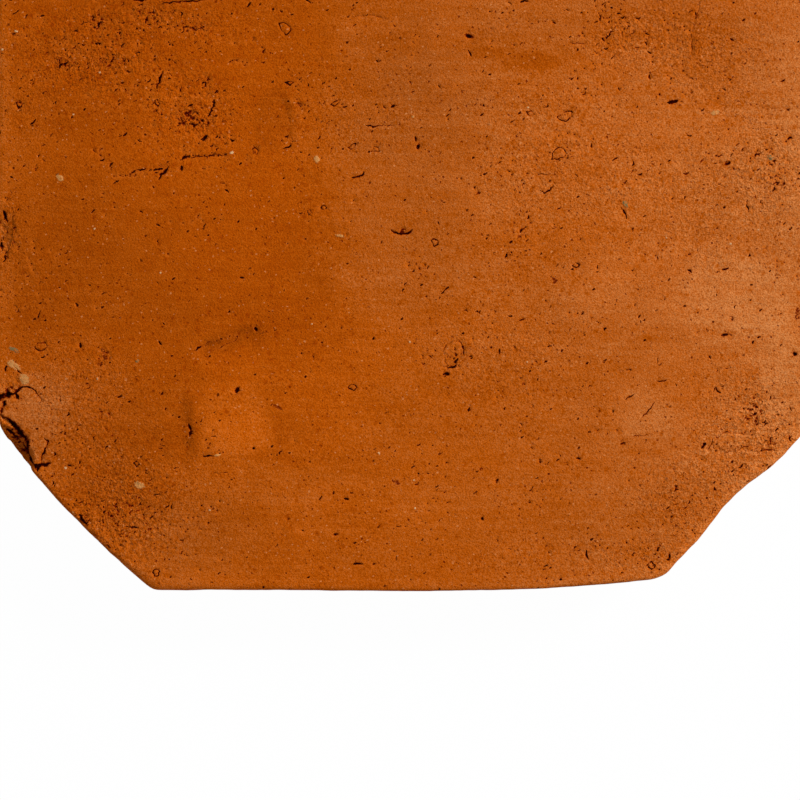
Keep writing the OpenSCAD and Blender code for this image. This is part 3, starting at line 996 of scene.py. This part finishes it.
# How much paler the clay is on top of it
LUMP_LIGHT = 0.04
BUMP_LIGHT = 0.03
STREAK_LIGHT = 0.04
SIDE_MOTTLE_LIGHT = 0.16
SIDE_FLECK_LIGHT = 0.10
# How rough the sides are, how much roughness adds to bumps and grain, and how sharply a rough patch ends
SIDE_ROUGH = 0.7
ROUGH_GAIN = 2
ROUGH_SHARP = 2.5
# The least dust, what the film of dust adds where it is whole, and what more where it is thickest
DUST_LEAST = 0.05
DUST_WHOLE = 0.42
DUST_THICK = 0.28
# The film begins and is whole at these pixels across. It is whole so much further right below the turn,
# which lies between two pixels down, and it thickens on between two pixels across
DUST_FROM_PX = 275
DUST_WHOLE_PX = 400
DUST_DRIFT_PX = 240
DUST_TURN_PX = (300, 420)
DUST_THICK_PX = (540, 800)
# Half of the film has a front that is uneven by so much, and begins so much later and is whole sooner
DUST_UNEVEN_PX = 30
DUST_CRISP_PX = 30
# Patchiness of the dust, what the whole film adds to it, and the share of its flecks and streaks
PATCHY_DUST = 0.04
PATCHY_FILM = 0.03
PATCHY_FINE = 0.8
# The rim of the face, dustier and paler from wear, its paleness also painted light that lifts the shade of
# the rounded arris: how wide it is in millimetres, how uneven, how much paler and how much dustier
WEAR_AND_LIGHT_WIDTH = 5.0
WEAR_AND_LIGHT_UNEVEN = 0.8
WEAR_AND_PAINTED_LIGHT = 0.10
WORN_DUST = 0.15


def press_grain(skin):
    """Unevenness of the clay: drag streaks, lumps and sandy roughness, stronger in the rough patches."""
    rough_patches = skin.patches([(*row[:4], 0, ROUGH_SHARP, row[4]) for row in ROUGH_PATCHES])
    skin.rough = np.clip(rough_patches + SIDE_ROUGH * skin.side, 0, 1)
    rough = 1 + ROUGH_GAIN * skin.rough
    lumps = skin.waves(LUMPS)
    bumps = skin.waves(BUMPS)
    grain = skin.waves(FINE_GRAIN)
    streaks = skin.waves(STREAKS)
    relief = LUMP_HEIGHT * lumps + BUMP_HEIGHT * bumps * rough
    relief += GRAIN_HEIGHT * grain * rough
    relief += STREAK_HEIGHT * streaks
    side_relief = SIDE_WAVE_HEIGHT * skin.waves(SIDE_WAVES)
    side_relief += SIDE_BUMP_HEIGHT * bumps
    side_relief += SIDE_GRAIN_HEIGHT * grain
    skin.sink -= relief * (1 - skin.side) + side_relief * skin.side
    skin.shade += LUMP_LIGHT * lumps + BUMP_LIGHT * bumps + STREAK_LIGHT * streaks


def between(values, ends):
    """How far values have come from the first end to the second, 0 to 1."""
    return eased((values - ends[0]) / (ends[1] - ends[0]))


def paint_dust(skin):
    """Dust on the right of the face and in its dusty patches, with deeper fired clay on the left."""
    px = TILE_CENTRE_PX[0] + skin.x * PX_PER_MM
    py = TILE_CENTRE_PX[1] - skin.y * PX_PER_MM
    whole_px = DUST_WHOLE_PX + DUST_DRIFT_PX * between(py, DUST_TURN_PX)
    uneven_px = px + DUST_UNEVEN_PX * skin.waves(DUST_FRONT)
    soft = between(px, (DUST_FROM_PX, whole_px))
    crisp = between(uneven_px, (DUST_FROM_PX + DUST_CRISP_PX, whole_px - DUST_CRISP_PX))
    film = (soft + crisp) / 2
    skin.dust += DUST_LEAST + DUST_WHOLE * film + DUST_THICK * between(px, DUST_THICK_PX)
    skin.dust += skin.patches(DUSTY_PATCHES)
    patchy = skin.waves(DUST_WAVES) + PATCHY_FINE * skin.waves(DUST_FLECKS)
    patchy += PATCHY_FINE * skin.waves(DUST_STREAKS)
    skin.dust += patchy * (PATCHY_DUST + PATCHY_FILM * film)


def paint_tone_wear_and_light(skin):
    """The rim of the face, dustier and paler from wear and from painted light over the arris's shade;
    patches of the clay's own tone and of painted light and shade on its relief; and the mottled sides.
    """
    rim_wear_and_light = np.clip(1 - skin.rim_gap / WEAR_AND_LIGHT_WIDTH, 0, 1) * skin.upper
    rim_wear_and_light *= 1 + WEAR_AND_LIGHT_UNEVEN * skin.waves(WEAR_AND_LIGHT_WAVES)
    skin.dust += WORN_DUST * rim_wear_and_light
    skin.shade += WEAR_AND_PAINTED_LIGHT * rim_wear_and_light + skin.patches(PATCHES_OF_TONE_AND_PAINTED_LIGHT)
    mottle = SIDE_MOTTLE_LIGHT * skin.waves(SIDE_MOTTLE) + SIDE_FLECK_LIGHT * skin.waves(SIDE_FLECKS)
    skin.shade += skin.side * mottle


def written_mesh(skin, solid):
    """The skin as a Blender object, in metres, inside the solid's box."""
    points = skin.points - skin.ways * skin.sink[:, None]
    points = np.clip(points, solid.low, solid.high) * MM
    mesh = bpy.data.meshes.new("terracotta_tile")
    mesh.from_pydata(points.tolist(), [], skin.faces)
    mesh.shade_smooth()
    for name in ("dark", "dust", "shade", "rough"):
        mesh.attributes.new(name, "FLOAT", "POINT").data.foreach_set("value", getattr(skin, name))
    tint = mesh.attributes.new("tint", "FLOAT_COLOR", "POINT")
    tint.data.foreach_set("color", skin.tint.ravel())
    mesh.validate()
    tile = bpy.data.objects.new("terracotta_tile", mesh)
    bpy.context.scene.collection.objects.link(tile)
    return tile


# Nodes of a material

class Tree:
    """A material's nodes, made and linked in short lines."""

    def __init__(self, material):
        material.use_nodes = True
        self.nodes = material.node_tree.nodes
        self.links = material.node_tree.links

    def feed(self, socket, value):
        if isinstance(value, bpy.types.NodeSocket):
            self.links.new(value, socket)
        else:
            socket.default_value = value

    def node(self, kind, inputs=None, **settings):
        """A new node's outputs, with values or links for its inputs, by name or number."""
        made = self.nodes.new("ShaderNode" + kind)
        for name, value in settings.items():
            setattr(made, name, value)
        for name, value in (inputs or {}).items():
            self.feed(made.inputs[name], value)
        return made.outputs

    def math(self, operation, a, b):
        return self.node("Math", {0: a, 1: b}, operation=operation)[0]

    def plus(self, total, *others):
        for other in others:
            total = self.math("ADD", total, other)
        return total

    def minus(self, a, b):
        return self.math("SUBTRACT", a, b)

    def times(self, a, b):
        return self.math("MULTIPLY", a, b)

    def attribute(self, name):
        return self.node("Attribute", attribute_name=name)

    def noise(self, where, scale, detail=3.0, roughness=0.55):
        inputs = {"Vector": where, "Scale": scale, "Detail": detail, "Roughness": roughness}
        return self.node("TexNoise", inputs)["Fac"]

    def stretched(self, where, sizes, turn=0.0):
        """The places measured in sizes in millimetres, along axes turned about the upright by degrees."""
        inputs = {"Vector": where, "Rotation": (0, 0, math.radians(turn)), "Scale": [s * MM for s in sizes]}
        return self.node("Mapping", inputs, vector_type="TEXTURE")["Vector"]

    def shaken(self, where, scale, amount):
        """The places moved about by up to an amount, so that specks come out uneven."""
        moves = self.node("TexNoise", {"Vector": where, "Scale": scale})["Color"]
        inputs = {0: moves, 1: (amount, amount, amount), 2: where}
        return self.node("VectorMath", inputs, operation="MULTIPLY_ADD")["Vector"]

    def ranged(self, value, ends, new_ends=(0.0, 1.0)):
        """A value taken from between two ends to between two others, and kept there."""
        inputs = {"Value": value, "From Min": ends[0], "From Max": ends[1]}
        inputs |= {"To Min": new_ends[0], "To Max": new_ends[1]}
        return self.node("MapRange", inputs, clamp=True)["Result"]

    def mixed(self, share, colour, cover):
        """A colour with a share of another over it."""
        cover = cover if isinstance(cover, bpy.types.NodeSocket) else (*cover, 1)
        return self.node("Mix", {"Factor": share, "A": colour, "B": cover}, data_type="RGBA")["Result"]

    def scaled(self, colour, amount):
        return self.node("VectorMath", {0: colour, "Scale": amount}, operation="SCALE")["Vector"]

    def ramp(self, value, stops):
        """Colours by value, from the first stop's value to the last one's."""
        least = stops[0][0]
        most = stops[-1][0]
        made = self.nodes.new("ShaderNodeValToRGB")
        self.feed(made.inputs["Fac"], self.ranged(value, (least, most)))
        elements = made.color_ramp.elements
        while len(elements) < len(stops):
            elements.new(0.5)
        for element, (place, colour) in zip(elements, stops):
            element.position = (place - least) / (most - least)
            element.color = (*colour, 1)
        return made.outputs["Color"]


# Fired clay

# Fired clay under more and more dust: how dusty, and the colour
CLAYS = [
    (-0.8, (0.25, 0.030, 0.0002)), (0, (0.36, 0.0625, 0.0005)), (0.3, (0.42, 0.0815, 0.0025)),
    (0.65, (0.47, 0.112, 0.015)), (1, (0.55, 0.165, 0.036)), (1.2, (0.61, 0.21, 0.058)),
]
# The pits' near black is painted shade in their hearts; rust-brown serves the clay's flecks and painted
# shade round pits and in low places; the pale orange is a painted highlight on the rims of marks and pits;
# sand is the clay's own
PIT_HEART_SHADE = (0.018, 0.0012, 0.0003)
RUST_BROWN_AND_SHADE = (0.15, 0.008, 0.0002)
PAINTED_HIGHLIGHT_COLOUR = (0.56, 0.125, 0.008)
SAND_COLOUR = (0.66, 0.26, 0.09)
# Noises of the clay: waves in a metre, and detail and roughness where they aren't the usual ones
NOISES = {
    "clusters": (130,), "mottle": (170,), "blotches": (620,), "clods": (1050, 2), "film": (1300, 2),
    "crumbs": (1900, 3, 0.65), "grain": (3000, 2, 0.6),
}
# Sizes of the drag streaks, in millimetres
STREAK_SIZES = (17, 1.1, 1.1)
# How far noises are followed to either side of their middle
WIDE = 0.25
MIDDLING = 0.2
NARROW = 0.15
# How far noises thicken and thin the dust, grain more so in rough places, and how much bare specks lack
DUST_SWINGS = {"mottle": 0.1, "streaks": 0.14, "blotches": 0.1, "film": 0.13}
GRAIN_DUST = 0.52
BARE_DUST = 0.4
# How far grain lightens the clay, and how far crumbs and clods darken it where they lie low, which is
# painted shade, more so in rough places
GRAIN_LIGHT = 0.09
CRUMB_SHADE = 0.05
CRUMB_GAIN = 3.0
CLOD_SHADE = 0.3
# Kinds of specks: sizes of their cells in millimetres, turned by degrees, and a speck's radius in cells
PIT_SPECKS = ((3.4, 1.9, 2.2), PIT_TURN[0], 0.15)
RUST_FLECKS = ((1.4, 1.1, 1.2), -PIT_TURN[0], 0.2)
SAND_SPECKS = ((1.3, 1.0, 1.1), 10, 0.2)
BARE_SPECKS = ((2.3, 1.7, 1.9), 60, 0.2)
# Share of the cells that have a speck: for sand, for the other kinds, and how far clusters change it
SAND_SHARE = 0.35
SPECK_SHARE = 0.34
CLUSTER_SHARE = 0.3
# How unevenly specks are shaken out of place: waves in a metre, and how far
SPECK_WAVES = 1600
SPECK_SHAKE = 0.8 * MM
# A speck's body, heart and halo, each from where it begins to where it is full, in radii
SPECK_PARTS = ((1, 0.7), (0.75, 0.5), (1.7, 1))
# A speck's strength, and the random number from which it is full
SPECK_STRENGTH = (0.4, 1.0)
STRONGEST_FROM = 0.7
# What covers the clay, one over the other: which specks, how well, and their colour. The pit highlights are
# painted highlight round the pits, and the pits and their hearts are painted shade in them
COVERS = [
    ("sand", 0.6, SAND_COLOUR), ("rust", 0.4, RUST_BROWN_AND_SHADE), ("flecks", 0.9, RUST_BROWN_AND_SHADE),
    ("pit highlights", 0.35, PAINTED_HIGHLIGHT_COLOUR), ("pits", 1.0, RUST_BROWN_AND_SHADE), ("pit hearts", 1.0, PIT_HEART_SHADE),
]
# Crumbs turn rust-brown where they lie low, painted shade in their hollows, between these values, and more
# of them where specks crowd
RUSTY_CRUMBS = (0.62, 0.74)
RUSTY_CROWDING = 0.08
# A stone's cover is frayed by so much, and between these values of it the stone's colour takes over
STONE_FRAY = 0.45
STONE_TURN = (0.4, 0.7)
# Marks get a pale rim, a painted highlight, which covers so well, then rust-brown and then the pits' near
# black, both painted shade, each between two values of their darkness, which is frayed by so much
HIGHLIGHT_DARKNESS = (0.02, 0.1)
HIGHLIGHT_COVER = 0.4
RUST_DARK = (0.15, 0.38)
HEART_DARK = (0.45, 0.65)
DARK_FRAY = 0.25
# How much roughness weighs, and how matt the surface is between two values of the blotches, with its sheen
ROUGH_WEIGHT = 0.6
MATT = (0.8, 0.98)
MATT_BLOTCHES = (0.2, 0.8)
SHEEN = 0.01
# Heights in the finest relief, against that of the crumbs, then its strength and depth
GRAIN_BUMP = 0.5
BLOTCH_BUMP = 0.6
CLOD_BUMP = 5.0
SPECK_BUMP = 0.8
BUMP_STRENGTH = 0.85
BUMP_DEPTH = 0.25 * MM


class Clay(Tree):
    """Unglazed fired clay: mottled, streaked by hand, sandy, with painted shade in its pits and low places
    and painted highlight on their rims, with stones in it.
    """

    def __init__(self, material):
        super().__init__(material)
        where = self.node("TexCoord")["Object"]
        self.noises = {name: self.noise(where, *settings) for name, settings in NOISES.items()}
        self.noises["streaks"] = self.noise(self.stretched(where, STREAK_SIZES), 1.0)
        self.rough = self.times(self.attribute("rough")["Fac"], ROUGH_WEIGHT)
        self.specks = self.scattered_specks(self.shaken(where, SPECK_WAVES, SPECK_SHAKE))

    def swing(self, name, amount, spread=WIDE):
        """A noise as -amount to +amount."""
        return self.ranged(self.noises[name], (0.5 - spread, 0.5 + spread), (-amount, amount))

    def speck_parts(self, where, kind, share):
        """Specks, their hearts and their halos, 0 to 1, in a share of the cells."""
        sizes, turn, radius = kind
        cells = self.node("TexVoronoi", {"Vector": self.stretched(where, sizes, turn), "Scale": 1.0})
        drawn = self.node("SeparateColor", {"Color": cells["Color"]})
        chosen = self.math("LESS_THAN", drawn["Red"], share)
        strength = self.times(chosen, self.ranged(drawn["Green"], (0.0, STRONGEST_FROM), SPECK_STRENGTH))
        ends = [(radius * start, radius * full) for start, full in SPECK_PARTS]
        return [self.times(strength, self.ranged(cells["Distance"], pair)) for pair in ends]

    def scattered_specks(self, where):
        """Specks by name, crowded in clusters and in rough places."""
        crowding = self.plus(self.swing("clusters", CLUSTER_SHARE, NARROW), self.rough, SPECK_SHARE)
        pits, pit_hearts, pit_highlights = self.speck_parts(where, PIT_SPECKS, crowding)
        flecks, _, _ = self.speck_parts(where, RUST_FLECKS, crowding)
        sand, _, _ = self.speck_parts(where, SAND_SPECKS, SAND_SHARE)
        _, _, bare = self.speck_parts(where, BARE_SPECKS, crowding)
        rusty = self.plus(self.noises["crumbs"], self.times(crowding, RUSTY_CROWDING))
        rust = self.ranged(rusty, RUSTY_CRUMBS)
        specks = {"pits": pits, "pit hearts": pit_hearts, "pit highlights": pit_highlights}
        return specks | {"flecks": flecks, "sand": sand, "bare": bare, "rust": rust}

    def dusty_colour(self):
        """The clay's colour under uneven dust."""
        swings = [self.swing(name, amount) for name, amount in DUST_SWINGS.items()]
        grain = self.times(self.swing("grain", GRAIN_DUST), self.plus(self.rough, 1.0))
        dust = self.plus(self.attribute("dust")["Fac"], *swings, grain)
        return self.ramp(self.minus(dust, self.times(self.specks["bare"], BARE_DUST)), CLAYS)

    def light(self):
        """How light the clay is, 1 on the whole, with the painted light and shade of the shade field and
        painted shade where crumbs and clods lie low.
        """
        crumb_gain = self.plus(self.times(self.rough, CRUMB_GAIN), 1.0)
        crumbs = self.times(self.swing("crumbs", -CRUMB_SHADE, NARROW), crumb_gain)
        clods = self.times(self.swing("clods", -CLOD_SHADE, MIDDLING), self.rough)
        shade = self.attribute("shade")["Fac"]
        return self.plus(shade, 1.0, self.swing("grain", GRAIN_LIGHT), crumbs, clods)

    def speckled(self, colour):
        for name, cover, tone in COVERS:
            colour = self.mixed(self.times(self.specks[name], cover), colour, tone)
        return colour

    def stony(self, colour, light):
        tint = self.attribute("tint")
        cover = self.plus(tint["Alpha"], self.swing("crumbs", STONE_FRAY, MIDDLING))
        return self.mixed(self.ranged(cover, STONE_TURN), colour, self.scaled(tint["Color"], light))

    def marked(self, colour):
        # A painted highlight round the marks, then painted shade inside them
        dark = self.attribute("dark")["Fac"]
        colour = self.mixed(self.times(self.ranged(dark, HIGHLIGHT_DARKNESS), HIGHLIGHT_COVER), colour, PAINTED_HIGHLIGHT_COLOUR)
        dark = self.plus(dark, self.swing("grain", DARK_FRAY, MIDDLING))
        colour = self.mixed(self.ranged(dark, RUST_DARK), colour, RUST_BROWN_AND_SHADE)
        return self.mixed(self.ranged(dark, HEART_DARK), colour, PIT_HEART_SHADE)

    def colour(self):
        light = self.light()
        colour = self.speckled(self.scaled(self.dusty_colour(), light))
        return self.marked(self.stony(colour, light))

    def relief(self):
        """The finest relief, as a bumped normal."""
        grain = self.times(self.noises["grain"], GRAIN_BUMP)
        blotches = self.times(self.noises["blotches"], BLOTCH_BUMP)
        clods = self.times(self.times(self.noises["clods"], self.rough), CLOD_BUMP)
        specks = self.times(self.math("MAXIMUM", self.specks["pits"], self.specks["flecks"]), SPECK_BUMP)
        height = self.minus(self.plus(grain, blotches), self.noises["crumbs"])
        height = self.minus(self.minus(height, clods), specks)
        inputs = {"Strength": BUMP_STRENGTH, "Distance": BUMP_DEPTH, "Height": height}
        return self.node("Bump", inputs)["Normal"]


def clay_material():
    material = bpy.data.materials.new("fired_clay")
    clay = Clay(material)
    shader = clay.nodes["Principled BSDF"]
    clay.feed(shader.inputs["Base Color"], clay.colour())
    clay.feed(shader.inputs["Roughness"], clay.ranged(clay.noises["blotches"], MATT_BLOTCHES, MATT))
    clay.feed(shader.inputs["Normal"], clay.relief())
    shader.inputs["Specular IOR Level"].default_value = SHEEN
    return material


def make_tile():
    """The tile's skin over its solid."""
    dice = random.Random(SEED)
    solid = Solid("tile")
    marks = scattered_pits(dice, solid) + photo_marks(dice)
    skin = laid_skin(solid, marks, dice)
    press_grain(skin)
    for mark in marks:
        mark.press(skin)
    paint_dust(skin)
    paint_tone_wear_and_light(skin)
    tile = written_mesh(skin, solid)
    tile.data.materials.append(clay_material())
    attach(tile, "root")
    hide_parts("tile")


# Floor, light and camera

FLOOR_SIZE = 6.0
# The floor lies this little under the bed, so that the two don't share one plane
FLOOR_GAP = 0.2 * MM
FLOOR_COLOUR = (0.8, 0.8, 0.8, 1)
# How much of the floor's look is its own white, and not the light that falls on it
FLOOR_OWN_WHITE = 0.985
CAMERA_LENS = 240.0
CAMERA_SENSOR = 36.0
# Height of the tile's widest outline, as a share of its thickness
WIDEST_HEIGHT = 0.87
WORLD_LIGHT = 0.38
KEY_PLACE = (1.5, 0.8, 1.2)
KEY_SIZE = 0.6
KEY_POWER = 52.0


def make_floor():
    """A plain floor that shows white and keeps the tile's shadow."""
    bpy.ops.mesh.primitive_plane_add(size=FLOOR_SIZE, location=(0, 0, -FLOOR_GAP))
    floor = bpy.context.object
    floor.name = "floor"
    material = bpy.data.materials.new("white_floor")
    tree = Tree(material)
    matt = tree.nodes["Principled BSDF"]
    matt.inputs["Base Color"].default_value = FLOOR_COLOUR
    matt.inputs["Roughness"].default_value = 1.0
    matt.inputs["Specular IOR Level"].default_value = 0.0
    glow = tree.node("Emission")["Emission"]
    path = tree.node("LightPath")
    seen = tree.math("MAXIMUM", path["Is Camera Ray"], path["Is Glossy Ray"])
    seen = tree.math("MAXIMUM", seen, path["Is Transmission Ray"])
    own_white = tree.times(seen, FLOOR_OWN_WHITE)
    look = tree.node("MixShader", {"Fac": own_white, 1: matt.outputs["BSDF"], 2: glow})["Shader"]
    tree.feed(tree.nodes["Material Output"].inputs["Surface"], look)
    floor.data.materials.append(material)


def make_light():
    """Even light from all round, and one soft lamp to the right."""
    world = bpy.data.worlds.new("plain_light")
    world.use_nodes = True
    background = world.node_tree.nodes["Background"]
    background.inputs["Color"].default_value = (1, 1, 1, 1)
    background.inputs["Strength"].default_value = WORLD_LIGHT
    bpy.context.scene.world = world
    lamp = bpy.data.lights.new("key", "AREA")
    lamp.size = KEY_SIZE
    lamp.energy = KEY_POWER
    key = bpy.data.objects.new("key", lamp)
    key.location = KEY_PLACE
    key.rotation_euler = (-Vector(KEY_PLACE)).to_track_quat("-Z", "Y").to_euler()
    bpy.context.scene.collection.objects.link(key)


def make_camera():
    """Straight down on the face, with the photograph's frame."""
    centre = on_face(PHOTO_PX / 2, PHOTO_PX / 2)
    frame_width = PHOTO_PX / PX_PER_MM * MM
    lens = bpy.data.cameras.new("camera")
    lens.lens = CAMERA_LENS
    lens.sensor_width = CAMERA_SENSOR
    camera = bpy.data.objects.new("camera", lens)
    height = cad_high[2] * WIDEST_HEIGHT + frame_width * CAMERA_LENS / CAMERA_SENSOR
    camera.location = (centre[0] * MM, centre[1] * MM, height)
    bpy.context.scene.collection.objects.link(camera)
    bpy.context.scene.camera = camera


make_camera()
make_tile()
make_floor()
make_light()
bpy.context.scene.view_settings.view_transform = "Standard"
